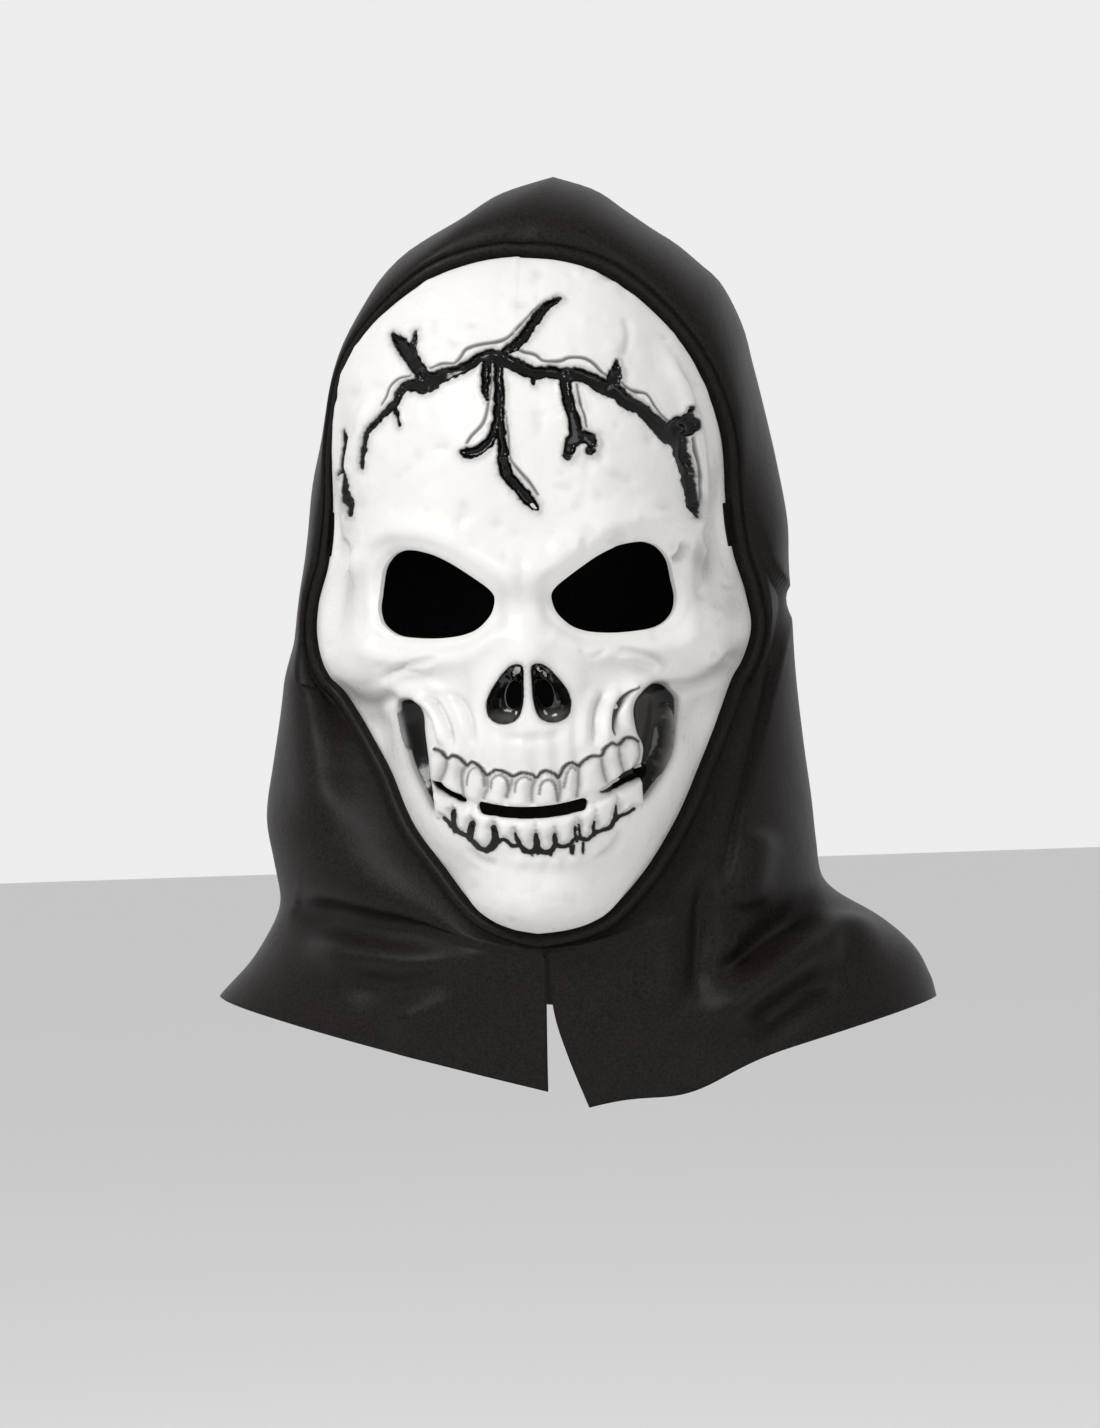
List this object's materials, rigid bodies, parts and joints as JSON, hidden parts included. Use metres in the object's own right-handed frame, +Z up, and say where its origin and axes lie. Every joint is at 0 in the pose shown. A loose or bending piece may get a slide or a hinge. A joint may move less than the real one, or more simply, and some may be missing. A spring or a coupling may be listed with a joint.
{
  "type": "skull mask with hood",
  "caption": "Moulded white skull face mask with open eyes, nostrils and mouth, its rim stuck into a black cloth hood with a short cape split at the front.",
  "frame": {"origin": "inside of the hood where it rests on the crown of the wearer's head", "axes": "+Z up, the face looks along -Y, +X is the viewer's right"},
  "size_m": [0.2858, 0.2451, 0.3644],
  "materials": {
    "white moulded plastic": "semi-gloss, with black painted recesses",
    "black satin cloth": "satin"
  },
  "bodies": {
    "root": {"mask_shell": "white moulded plastic", "hood": "black satin cloth"}
  },
  "joints": []
}
